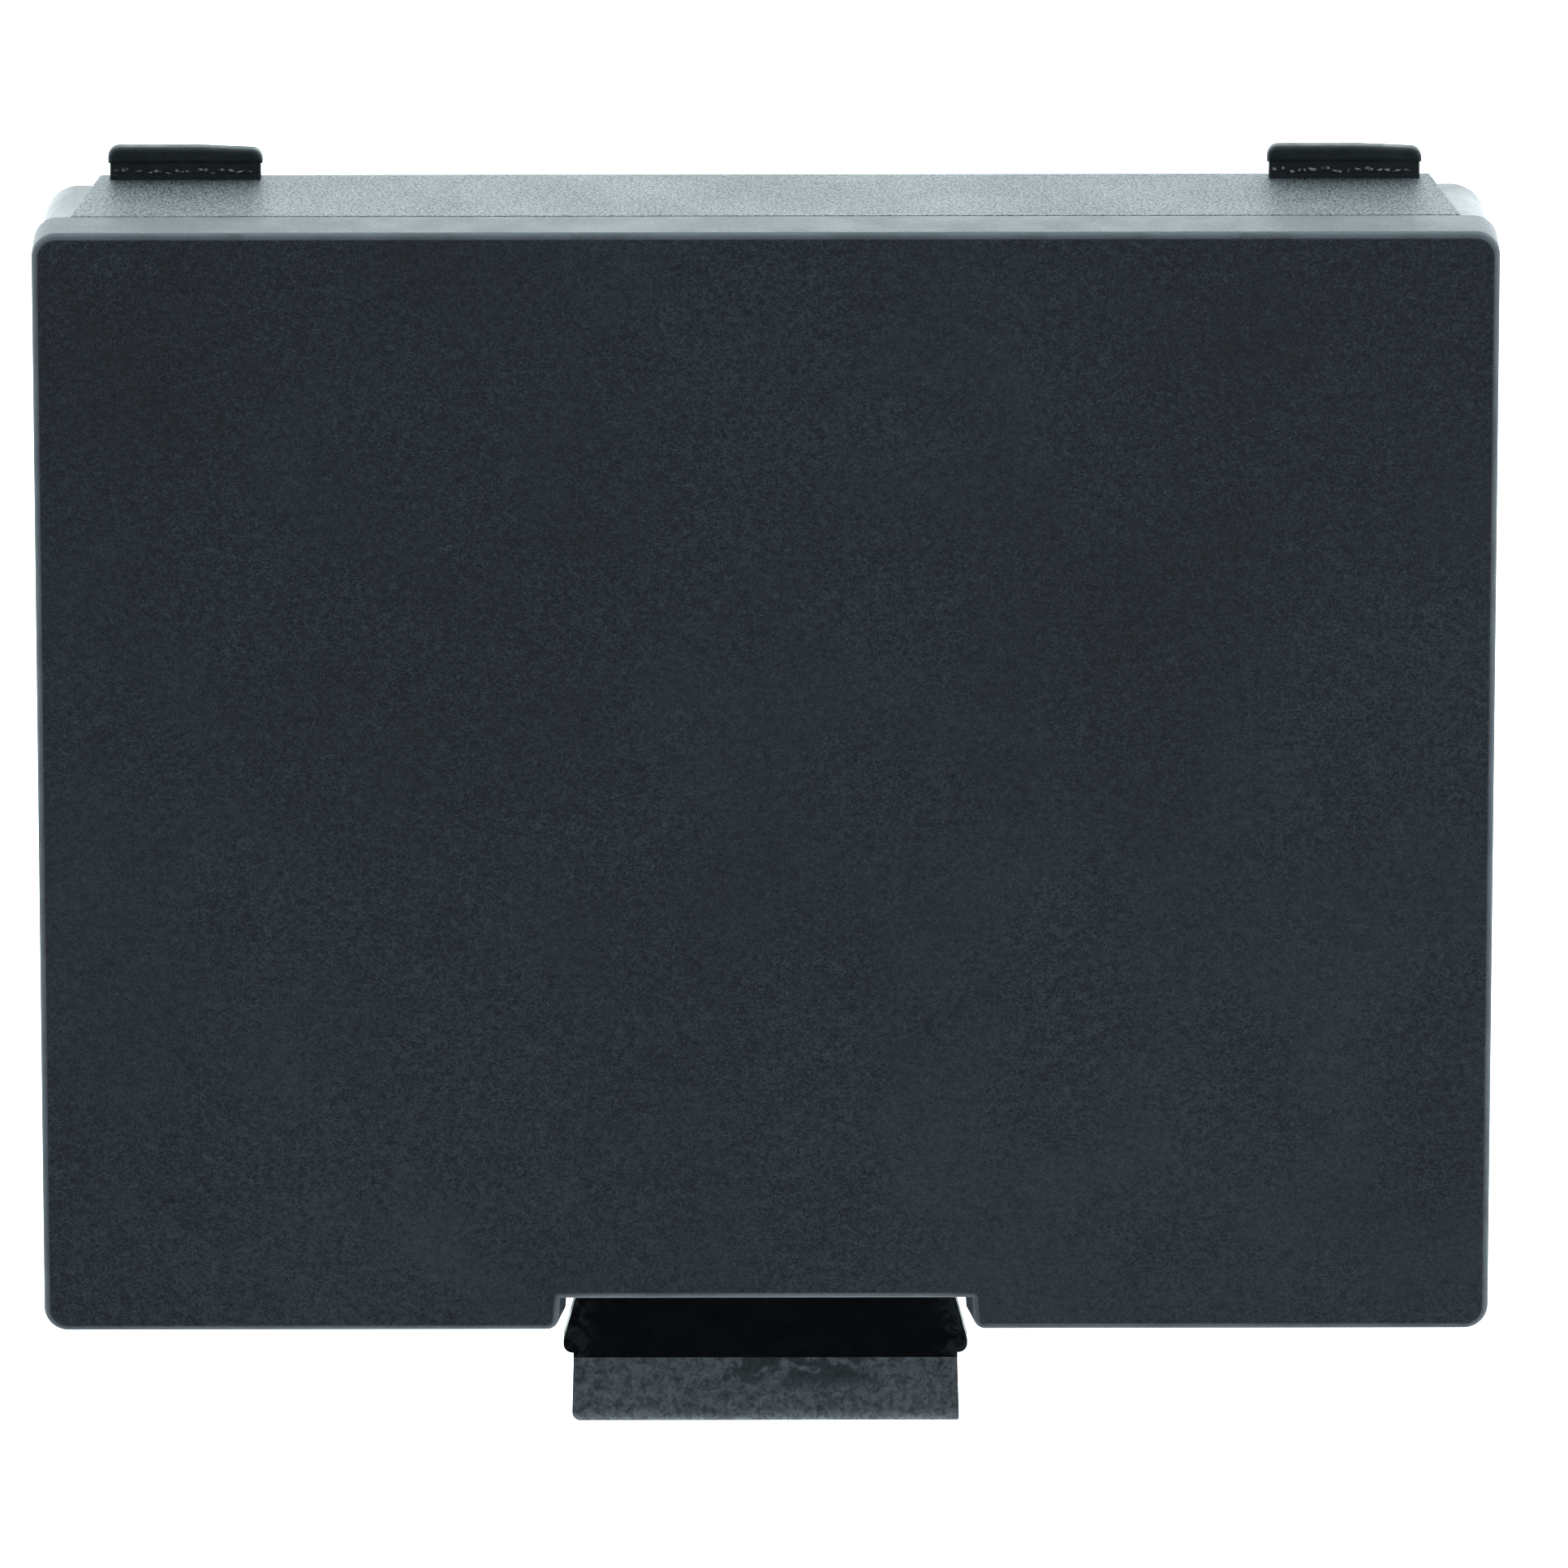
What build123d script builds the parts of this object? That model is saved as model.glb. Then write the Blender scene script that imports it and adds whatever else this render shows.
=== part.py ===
"""Ink pad cartridge: a moulded tray with an inked felt pad under a lift-off protective cover.

Frame: the tray's rear face lies in Z = 0 and the pad faces +Z. X runs along the long side,
the two hooks are on the +Y side and the sprung latch is on the -Y side. The origin is the
middle of the rear face. Millimetres.
"""
from build123d import *
import os

os.makedirs("parts", exist_ok=True)

NEAR = 0.01               # tolerance for picking corners

# Overall sizes
CASE_X = 77.0             # cover, outside
CASE_Y = 60.5
CASE_Z = 12.5
COVER_SKIRT = 3.6         # height of the cover's side wall
COVER_CORNER = 1.3
COVER_EDGE = 0.4          # rounding between the face and the side wall
COVER_WALL = 1.2
COVER_TOP = 1.3
LIFT_GAP = 0.1            # running gap between the cover and the tray's rim
SHOULDER_Z = CASE_Z - COVER_SKIRT

# Tray
TRAY_X_REAR = 76.3        # the walls draw out towards the shoulder
TRAY_Y_REAR = 59.5
TRAY_DRAFT = 0.2          # added to each side at the shoulder
TRAY_CORNER = 1.8
TRAY_REAR_EDGE = 0.45
TRAY_FLOOR = 1.7
RIM_WALL = 1.2
RIM_HEIGHT = 1.7          # rim that locates the cover, above the shoulder
RIM_CORNER = 1.6
RIM_X = CASE_X - 2 * (COVER_WALL + LIFT_GAP)
RIM_Y = CASE_Y - 2 * (COVER_WALL + LIFT_GAP)
WELL_X = RIM_X - 2 * RIM_WALL
WELL_Y = RIM_Y - 2 * RIM_WALL
WELL_CORNER = 0.8

# Rear face: a shallow panel with a cross of flush ribs
RECESS_X = 69.0
RECESS_Y = 51.0
RECESS_CORNER = 1.5
RECESS_DEPTH = 0.45
REAR_RIB = 1.6

# Notch in the cover, which leaves room for a fingertip above the latch
NOTCH_HALF_IN = 10.62     # at the skirt's edge
NOTCH_HALF_OUT = 10.73
NOTCH_DRAFT = 0.4         # the notch's sides open out towards the face
NOTCH_DEPTH = 1.76
NOTCH_CORNER = 0.7        # mouth at the face
NOTCH_CORNER_SKIRT = 0.25
RIM_BREAK = 25.0          # the rim stops short of the notch's own wall
CHANNEL_HALF = 11.6       # shallow channel in the tray's wall behind the latch
CHANNEL_DEPTH = 0.55
CHANNEL_BOTTOM_Z = 2.8

# Hook plate: let into the +Y wall and standing a little proud of it
PLATE_FACE_Y = 30.25
PLATE_THICK = 1.2
PLATE_HALF_REAR = 35.3
PLATE_HALF_FRONT = 36.65
PLATE_TOP_Z = SHOULDER_Z - 0.05
PLATE_EDGE = 0.12

# Hooks: a thin rounded bead on a neck, with a tenon pressed through the plate
HOOK_CENTRE_X = 30.7
HOOK_WIDTH = 8.2
HOOK_NECK_WIDTH = 8.0
HOOK_Z_LOW = 0.15
HOOK_DEPTH = 1.0          # along Z
HOOK_NECK_INSET = 0.17
HOOK_FLANGE = 0.25        # along Y
HOOK_NECK = 0.6
HOOK_HEAD = 0.9
HOOK_FALL = 0.15          # the bead's top falls away towards +X
HOOK_FALL_START = 0.8
HOOK_CORNER = 0.6
HOOK_ROUND = 0.28
NECK_ROUND = 0.12
TENON_WIDTH = 6.4
TENON_DEPTH = 0.5

# Latch: a flat spring tongue that turns at its root
PIVOT_Y = -29.9
PIVOT_Z = 1.5
TONGUE_THICK = 1.4
TONGUE_HALF_ROOT = 10.2
TONGUE_HALF = 10.37
SHOULDER_HALF = 10.9      # catch shoulders, each side of the tongue's end
SHOULDER_START_Y = -31.6
SHOULDER_WIDE_Y = -34.2
SHOULDER_END_Y = -34.9
SHOULDER_ROUND = 0.5
TONGUE_END_Y = -35.9
PIVOT_GAP = 0.1
TONGUE_TOP_Z = PIVOT_Z + TONGUE_THICK / 2

# Finger tab: a lip that slopes up and out from the end of the tongue
TAB_HALF = 10.33
TAB_HALF_TIP = 10.45
TAB_FOOT_Y = -35.17       # inner face where it stands on the tongue
TAB_SLOPE = 20.0          # degrees above the tongue
TAB_LENGTH = 2.78         # inner face, up to where the rounded tip begins
TAB_THICK = 1.2
TAB_HEEL_Y = -36.9        # back of the block that holds the tongue's end
TAB_CORNER = 0.45         # rounded corner of the tip at -X; the other is nearly square
TAB_CORNER_SQUARE = 0.12
GRIP_RIBS = 2
GRIP_RIB_PITCH = 0.7
GRIP_RIB_WIDTH = 0.35
GRIP_RIB_HEIGHT = 0.2
GRIP_RIB_LENGTH = 17.0

# Pad, from the tray's floor upwards
FOAM_GAP = 0.3
FOAM_TOP_Z = 7.0
CLOTH_THICK = 0.25
FRAME_WALL = 1.3
FRAME_BOTTOM_Z = FOAM_TOP_Z + CLOTH_THICK
FRAME_TOP_Z = SHOULDER_Z - 0.1
FRAME_GAP = 0.1
FRAME_BEVEL = 0.48
FELT_TOP_Z = 9.7
CLOTH_GAP = 0.05
PAD_CORNER = 1.2
PAD_TOP_EDGE = 0.5


def save(piece, name):
    """Label a finished piece and write it to its own STEP file."""
    piece.part.label = name
    export_step(piece.part, f"parts/{name}.step")


def notched_outline(draft):
    """Add the cover's outline to the current sketch: a rounded rectangle with the latch notch.

    The notch is wider by draft on each side, and its mouth is rounded.
    """
    RectangleRounded(CASE_X, CASE_Y, COVER_CORNER)
    Polygon(
        (-NOTCH_HALF_OUT - draft, -CASE_Y / 2),
        (-NOTCH_HALF_IN - draft, -CASE_Y / 2 + NOTCH_DEPTH),
        (NOTCH_HALF_IN + draft, -CASE_Y / 2 + NOTCH_DEPTH),
        (NOTCH_HALF_OUT + draft, -CASE_Y / 2),
        align=None,
        mode=Mode.SUBTRACT,
    )


def round_mouth(outline, radius):
    """Round the two outer corners of the notch in the cover's outline."""
    mouth_corners = outline.vertices().filter_by(
        lambda v: abs(v.X) < CHANNEL_HALF and v.Y < -CASE_Y / 2 + NEAR
    )
    fillet(mouth_corners, radius=radius)


# ---------------------------------------------------------------- protective cover
with BuildPart() as protective_cover:
    with BuildSketch(Plane.XY.offset(SHOULDER_Z)) as skirt_outline:
        notched_outline(0)
        round_mouth(skirt_outline, NOTCH_CORNER_SKIRT)
    with BuildSketch(Plane.XY.offset(CASE_Z)) as face_outline:
        notched_outline(NOTCH_DRAFT)
        round_mouth(face_outline, NOTCH_CORNER)
    loft()
    fillet(protective_cover.edges().group_by(Axis.Z)[-1], radius=COVER_EDGE)
    with BuildSketch(Plane.XY.offset(SHOULDER_Z)):
        notched_outline(NOTCH_DRAFT)
        offset(amount=-COVER_WALL, kind=Kind.INTERSECTION)
    extrude(amount=COVER_SKIRT - COVER_TOP, mode=Mode.SUBTRACT)
save(protective_cover, "protective_cover")


# ---------------------------------------------------------------- tray
def plate_outline(top_z):
    """Add the hook plate's trapezoid to the current sketch, up to the height top_z."""
    spread = (PLATE_HALF_FRONT - PLATE_HALF_REAR) * top_z / PLATE_TOP_Z
    Polygon(
        (-PLATE_HALF_REAR, 0),
        (-PLATE_HALF_REAR - spread, top_z),
        (PLATE_HALF_REAR + spread, top_z),
        (PLATE_HALF_REAR, 0),
        align=None,
    )


with BuildPart() as tray:
    with BuildSketch(Plane.XY):
        RectangleRounded(TRAY_X_REAR, TRAY_Y_REAR, TRAY_CORNER)
    with BuildSketch(Plane.XY.offset(SHOULDER_Z)):
        RectangleRounded(TRAY_X_REAR + 2 * TRAY_DRAFT, TRAY_Y_REAR + 2 * TRAY_DRAFT, TRAY_CORNER)
    loft()
    fillet(tray.edges().group_by(Axis.Z)[0], radius=TRAY_REAR_EDGE)
    with BuildSketch(Plane.XY.offset(SHOULDER_Z)):
        RectangleRounded(RIM_X, RIM_Y, RIM_CORNER)
    extrude(amount=RIM_HEIGHT)
    with BuildSketch(Plane.XY.offset(TRAY_FLOOR)):
        RectangleRounded(WELL_X, WELL_Y, WELL_CORNER)
    extrude(amount=CASE_Z, mode=Mode.SUBTRACT)
    # the rim is broken behind the cover's notch
    with BuildSketch(Plane.XY.offset(SHOULDER_Z)):
        with Locations((0, -RIM_Y / 2)):
            Rectangle(RIM_BREAK, 4 * RIM_WALL)
    extrude(amount=RIM_HEIGHT, mode=Mode.SUBTRACT)
    # rear panel with its cross of ribs left standing
    with BuildSketch(Plane.XY):
        RectangleRounded(RECESS_X, RECESS_Y, RECESS_CORNER)
        Rectangle(RECESS_X, REAR_RIB, mode=Mode.SUBTRACT)
        Rectangle(REAR_RIB, RECESS_Y, mode=Mode.SUBTRACT)
    extrude(amount=RECESS_DEPTH, mode=Mode.SUBTRACT)
    # pocket for the hook plate
    with BuildSketch(Plane.XZ.offset(-PLATE_FACE_Y)):
        plate_outline(SHOULDER_Z)
    extrude(amount=PLATE_THICK, mode=Mode.SUBTRACT)
    # channel in the wall behind the latch
    with BuildSketch(Plane.XY.offset(CHANNEL_BOTTOM_Z)):
        with Locations((0, -TRAY_Y_REAR / 2 - TRAY_DRAFT)):
            Rectangle(2 * CHANNEL_HALF, 2 * CHANNEL_DEPTH)
    extrude(amount=SHOULDER_Z, mode=Mode.SUBTRACT)
    # groove that the latch's round root turns in
    with BuildSketch(Plane.YZ.offset(-TONGUE_HALF_ROOT - PIVOT_GAP)):
        with Locations((PIVOT_Y, PIVOT_Z)):
            Circle(TONGUE_THICK / 2 + PIVOT_GAP)
    extrude(amount=2 * (TONGUE_HALF_ROOT + PIVOT_GAP), mode=Mode.SUBTRACT)
save(tray, "tray")


# ---------------------------------------------------------------- hook plate
TENON_Z = HOOK_Z_LOW + HOOK_DEPTH / 2

with BuildPart() as hook_plate:
    with BuildSketch(Plane.XZ.offset(-PLATE_FACE_Y)):
        plate_outline(PLATE_TOP_Z)
    extrude(amount=PLATE_THICK)
    outer_face = hook_plate.faces().sort_by(Axis.Y)[-1]
    chamfer(outer_face.edges(), length=PLATE_EDGE)
    with BuildSketch(Plane.XZ.offset(-PLATE_FACE_Y)):
        with Locations((-HOOK_CENTRE_X, TENON_Z), (HOOK_CENTRE_X, TENON_Z)):
            Rectangle(TENON_WIDTH, TENON_DEPTH)
    extrude(amount=PLATE_THICK, mode=Mode.SUBTRACT)
save(hook_plate, "hook_plate")


# ---------------------------------------------------------------- hooks
def make_hook(centre_x):
    """One hook: tenon, flange, neck and rounded bead, standing out along +Y."""
    flange_y = PLATE_FACE_Y + HOOK_FLANGE
    neck_y = flange_y + HOOK_NECK
    neck_depth = HOOK_DEPTH - 2 * HOOK_NECK_INSET
    with BuildPart() as hook:
        # the bead comes first, so that its edges can be rounded on their own
        with BuildSketch(Plane.XY.offset(HOOK_Z_LOW)) as bead_outline:
            with Locations((centre_x, neck_y)):
                Polygon(
                    (-HOOK_WIDTH / 2, 0),
                    (-HOOK_WIDTH / 2, HOOK_HEAD),
                    (HOOK_FALL_START, HOOK_HEAD),
                    (HOOK_WIDTH / 2, HOOK_HEAD - HOOK_FALL),
                    (HOOK_WIDTH / 2, 0),
                    align=None,
                )
            outer_corners = bead_outline.vertices().filter_by(
                lambda v: abs(v.X - centre_x) > HOOK_FALL_START + HOOK_HEAD and v.Y > neck_y + HOOK_CORNER
            )
            fillet(outer_corners, radius=HOOK_CORNER)
        extrude(amount=HOOK_DEPTH)
        fillet(hook.faces().sort_by(Axis.Z)[-1].edges(), radius=HOOK_ROUND)
        fillet(hook.faces().sort_by(Axis.Z)[0].edges(), radius=HOOK_ROUND)
        with BuildSketch(Plane.XZ.offset(-flange_y)):
            with Locations((centre_x, TENON_Z)):
                RectangleRounded(HOOK_NECK_WIDTH, neck_depth, NECK_ROUND)
        extrude(amount=-(HOOK_NECK + HOOK_HEAD / 2))
        with BuildSketch(Plane.XZ.offset(-PLATE_FACE_Y)):
            with Locations((centre_x, TENON_Z)):
                RectangleRounded(HOOK_NECK_WIDTH, HOOK_DEPTH, NECK_ROUND)
        extrude(amount=-HOOK_FLANGE)
        with BuildSketch(Plane.XZ.offset(-PLATE_FACE_Y)):
            with Locations((centre_x, TENON_Z)):
                Rectangle(TENON_WIDTH, TENON_DEPTH)
        extrude(amount=PLATE_THICK)
    return hook


save(make_hook(-HOOK_CENTRE_X), "left_hook")
save(make_hook(HOOK_CENTRE_X), "right_hook")


# ---------------------------------------------------------------- spring latch
with BuildPart() as spring_latch:
    with BuildSketch(Plane.XY.offset(PIVOT_Z - TONGUE_THICK / 2)) as tongue_outline:
        with BuildLine():
            right_side = Polyline(
                (0, PIVOT_Y),
                (TONGUE_HALF_ROOT, PIVOT_Y),
                (TONGUE_HALF_ROOT, SHOULDER_START_Y),
                (SHOULDER_HALF, SHOULDER_WIDE_Y),
                (SHOULDER_HALF, SHOULDER_END_Y),
                (TONGUE_HALF, SHOULDER_END_Y),
                (TONGUE_HALF, TONGUE_END_Y),
                (0, TONGUE_END_Y),
            )
            mirror(right_side, about=Plane.YZ)
        make_face()
        shoulder_tips = tongue_outline.vertices().filter_by(
            lambda v: abs(v.X) > SHOULDER_HALF - NEAR and v.Y < SHOULDER_END_Y + NEAR
        )
        fillet(shoulder_tips, radius=SHOULDER_ROUND)
    extrude(amount=TONGUE_THICK)
    with BuildSketch(Plane.YZ.offset(-TONGUE_HALF_ROOT)):
        with Locations((PIVOT_Y, PIVOT_Z)):
            Circle(TONGUE_THICK / 2)
    extrude(amount=2 * TONGUE_HALF_ROOT)
save(spring_latch, "spring_latch")


# ---------------------------------------------------------------- finger tab
TAB_BOTTOM_Z = PIVOT_Z - TONGUE_THICK / 2

# the lip's section: its inner and outer faces are planes that slope up and out
lip_out = Vector(0, 1, 0).rotate(Axis.X, 90 - TAB_SLOPE)
lip_up = Vector(0, 1, 0).rotate(Axis.X, 180 - TAB_SLOPE)
inner_foot = Vector(0, TAB_FOOT_Y, TONGUE_TOP_Z)
inner_tip = inner_foot + lip_up * TAB_LENGTH
outer_tip = inner_tip - lip_out * TAB_THICK
tip_top = (inner_tip + outer_tip) / 2 + lip_up * (TAB_THICK / 2)
outer_foot = outer_tip - lip_up * ((outer_tip.Y - TAB_HEEL_Y) / lip_up.Y)
inner_face = Plane(origin=inner_foot, x_dir=(1, 0, 0), z_dir=lip_out)
outer_face_middle = Plane(origin=(outer_foot + outer_tip) / 2, x_dir=(1, 0, 0), z_dir=-lip_out)

with BuildPart() as finger_tab:
    with BuildSketch(Plane.YZ.offset(-TAB_HALF_TIP)):
        with BuildLine():
            Polyline(
                (inner_tip.Y, inner_tip.Z),
                (inner_foot.Y, inner_foot.Z),
                (TONGUE_END_Y, TONGUE_TOP_Z),
                (TONGUE_END_Y, TAB_BOTTOM_Z),
                (TAB_HEEL_Y, TAB_BOTTOM_Z),
                (outer_foot.Y, outer_foot.Z),
                (outer_tip.Y, outer_tip.Z),
            )
            ThreePointArc(
                (outer_tip.Y, outer_tip.Z),
                (tip_top.Y, tip_top.Z),
                (inner_tip.Y, inner_tip.Z),
            )
        make_face()
    extrude(amount=2 * TAB_HALF_TIP)
    # the lip widens a little towards its tip, and its corner at -X is the rounder one
    with BuildSketch(inner_face) as lip_outline:
        Polygon(
            (-TAB_HALF, TAB_THICK),
            (TAB_HALF, TAB_THICK),
            (TAB_HALF_TIP, -TAB_LENGTH - TAB_THICK / 2),
            (-TAB_HALF_TIP, -TAB_LENGTH - TAB_THICK / 2),
            align=None,
        )
        fillet(lip_outline.vertices().sort_by(Axis.X)[0], radius=TAB_CORNER)
        fillet(lip_outline.vertices().sort_by(Axis.X)[-1], radius=TAB_CORNER_SQUARE)
    extrude(amount=-2 * TAB_THICK, mode=Mode.INTERSECT)
    # grip ribs across the outer face
    with BuildSketch(outer_face_middle):
        with GridLocations(0, GRIP_RIB_PITCH, 1, GRIP_RIBS):
            SlotOverall(GRIP_RIB_LENGTH, GRIP_RIB_WIDTH)
    extrude(amount=GRIP_RIB_HEIGHT)
save(finger_tab, "finger_tab")


# ---------------------------------------------------------------- pad
FRAME_X = WELL_X - 2 * FRAME_GAP
FRAME_Y = WELL_Y - 2 * FRAME_GAP
FRAME_IN_X = FRAME_X - 2 * FRAME_WALL
FRAME_IN_Y = FRAME_Y - 2 * FRAME_WALL
CLOTH_X = FRAME_IN_X - 2 * CLOTH_GAP
CLOTH_Y = FRAME_IN_Y - 2 * CLOTH_GAP
FELT_X = CLOTH_X - 2 * CLOTH_THICK
FELT_Y = CLOTH_Y - 2 * CLOTH_THICK

with BuildPart() as ink_foam:
    with BuildSketch(Plane.XY.offset(TRAY_FLOOR)):
        RectangleRounded(WELL_X - 2 * FOAM_GAP, WELL_Y - 2 * FOAM_GAP, WELL_CORNER)
    extrude(amount=FOAM_TOP_Z - TRAY_FLOOR)
save(ink_foam, "ink_foam")

with BuildPart() as felt_pad:
    with BuildSketch(Plane.XY.offset(FOAM_TOP_Z)):
        RectangleRounded(FELT_X, FELT_Y, PAD_CORNER)
    extrude(amount=FELT_TOP_Z - FOAM_TOP_Z)
    fillet(felt_pad.edges().group_by(Axis.Z)[-1], radius=PAD_TOP_EDGE)
save(felt_pad, "felt_pad")

with BuildPart() as pad_cloth:
    # flange under the frame, then the cap over the felt
    with BuildSketch(Plane.XY.offset(FOAM_TOP_Z)):
        RectangleRounded(FRAME_X, FRAME_Y, WELL_CORNER)
    extrude(amount=CLOTH_THICK)
    with BuildSketch(Plane.XY.offset(FOAM_TOP_Z)):
        RectangleRounded(CLOTH_X, CLOTH_Y, PAD_CORNER + CLOTH_THICK)
    extrude(amount=FELT_TOP_Z + CLOTH_THICK - FOAM_TOP_Z)
    fillet(pad_cloth.edges().group_by(Axis.Z)[-1], radius=PAD_TOP_EDGE + CLOTH_THICK)
    add(felt_pad.part, mode=Mode.SUBTRACT)
save(pad_cloth, "pad_cloth")

with BuildPart() as pad_frame:
    with BuildSketch(Plane.XY.offset(FRAME_BOTTOM_Z)):
        RectangleRounded(FRAME_X, FRAME_Y, WELL_CORNER)
        RectangleRounded(FRAME_IN_X, FRAME_IN_Y, PAD_CORNER + CLOTH_THICK, mode=Mode.SUBTRACT)
    extrude(amount=FRAME_TOP_Z - FRAME_BOTTOM_Z)
    inner_rim = pad_frame.faces().sort_by(Axis.Z)[-1].inner_wires()[0]
    chamfer(inner_rim.edges(), length=FRAME_BEVEL)
save(pad_frame, "pad_frame")
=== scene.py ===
"""Looks of the ink pad cartridge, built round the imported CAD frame.

Metres, in the CAD's own frame: the rear face lies on Z = 0, the cover faces +Z, the hooks are on
the +Y side and the latch is on the -Y side.
"""

import math
import random

import bmesh
import bpy
from mathutils import Matrix, Vector
from mathutils.bvhtree import BVHTree


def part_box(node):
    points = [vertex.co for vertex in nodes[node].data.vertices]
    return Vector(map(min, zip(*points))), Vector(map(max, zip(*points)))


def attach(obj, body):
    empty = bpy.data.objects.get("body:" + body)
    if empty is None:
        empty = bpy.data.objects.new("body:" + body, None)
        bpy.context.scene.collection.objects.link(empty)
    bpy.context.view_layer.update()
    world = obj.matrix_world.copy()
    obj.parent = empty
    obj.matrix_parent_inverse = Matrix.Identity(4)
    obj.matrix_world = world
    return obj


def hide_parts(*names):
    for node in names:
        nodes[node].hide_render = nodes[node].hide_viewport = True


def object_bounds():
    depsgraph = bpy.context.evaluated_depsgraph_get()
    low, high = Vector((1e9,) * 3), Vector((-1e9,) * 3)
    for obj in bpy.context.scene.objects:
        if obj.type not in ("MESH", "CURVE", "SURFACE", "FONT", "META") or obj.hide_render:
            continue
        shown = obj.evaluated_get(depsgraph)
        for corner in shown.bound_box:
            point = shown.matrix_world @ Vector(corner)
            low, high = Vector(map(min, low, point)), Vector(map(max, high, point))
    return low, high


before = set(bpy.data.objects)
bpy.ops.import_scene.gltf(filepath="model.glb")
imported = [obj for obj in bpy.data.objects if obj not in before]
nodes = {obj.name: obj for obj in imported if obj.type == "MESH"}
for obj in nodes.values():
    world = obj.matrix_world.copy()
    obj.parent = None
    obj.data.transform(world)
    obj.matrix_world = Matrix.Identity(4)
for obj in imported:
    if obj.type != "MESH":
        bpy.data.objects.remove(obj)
cad_low, cad_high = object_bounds()

MM = 0.001

# Camera: a long lens, leaning over the hooks' side
VIEW_DISTANCE = 950 * MM
VIEW_TILT = math.radians(16.58)
VIEW_TURN = math.radians(-0.31)
VIEW_WIDTH = 83.45 * MM       # width of the view at the aim point
VIEW_AIM = Vector((0.98, -1.68, 6.25)) * MM
SENSOR = 36.0

# Floor and sky
FLOOR_HALF = 1.5
FLOOR_Z = -0.02 * MM          # just clear of the rear face, so that the two never share a plane
HORIZON_GLOW = 0.9
ZENITH_GLOW = 0.16

# Where the looks of the latch and the tab change, in millimetres
tab_low, tab_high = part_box("finger_tab")
latch_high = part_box("spring_latch")[1]
HIGHLIGHT_START = 0.80 * latch_high[0] / MM       # painted highlights begin this far from the middle of the latch
HIGHLIGHT_END = 0.97 * latch_high[0] / MM
TAB_MIDDLE_Z = (tab_low[2] + tab_high[2]) / 2 / MM
TAB_DARK_PATCH_Z = (TAB_MIDDLE_Z + 0.5, TAB_MIDDLE_Z + 0.9)
TAB_PATCHES_X = 1.8           # the darker patches lie round here
TAB_PATCHES_SPREAD = (3.0, 5.0)
WEAVE_PITCH = 0.42

# Meshing and simulation of the padded blocks
RING_POINTS = 320             # points round each ring of a soft piece
EDGE_STEPS = 4                # steps round the rounded edge of a slab
SLAB_TOP_STEPS = 20
SIM_SCALE = 10.0              # the cloth solver works on a model this many times larger
SIM_FRAMES = 20
SWELL_PRESSURE = 4.0
CLOTH_STIFFNESS = 20
BLOCK_INSET = Vector((0.15, 0.15, 0.15)) * MM     # room that a padded block leaves for its swelling

# The cloth over the pad
CLOTH_CORNER = 1.45 * MM
CLOTH_EDGE = 0.75 * MM
CLOTH_TOP_PITCH = 0.9 * MM
FLANGE_RINGS = 4
SIDE_RINGS = 5
BEND_RINGS = 7
TUCKS = 7                     # small pleats at each corner of the cloth
TUCK_SPREAD = 9.0 * MM        # the pleats fade out over this distance from the corner
TUCK_DEPTH = 0.14 * MM
TUCK_CENTRE = 4.0 * MM        # the pleats fan out from here, inside the corner
TUCK_SIDE = (0.1, 0.9)        # shares of the cloth's height between which it counts as the side

# Flash in the grooves of the hooks
FLASH_ABOVE_PLATE = 0.42 * MM
FLASH_SINK = 0.16 * MM        # below the top of the bead, so that the flakes sit in the neck
FLASH_MARGINS = (0.3 * MM, 0.5 * MM)


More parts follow.
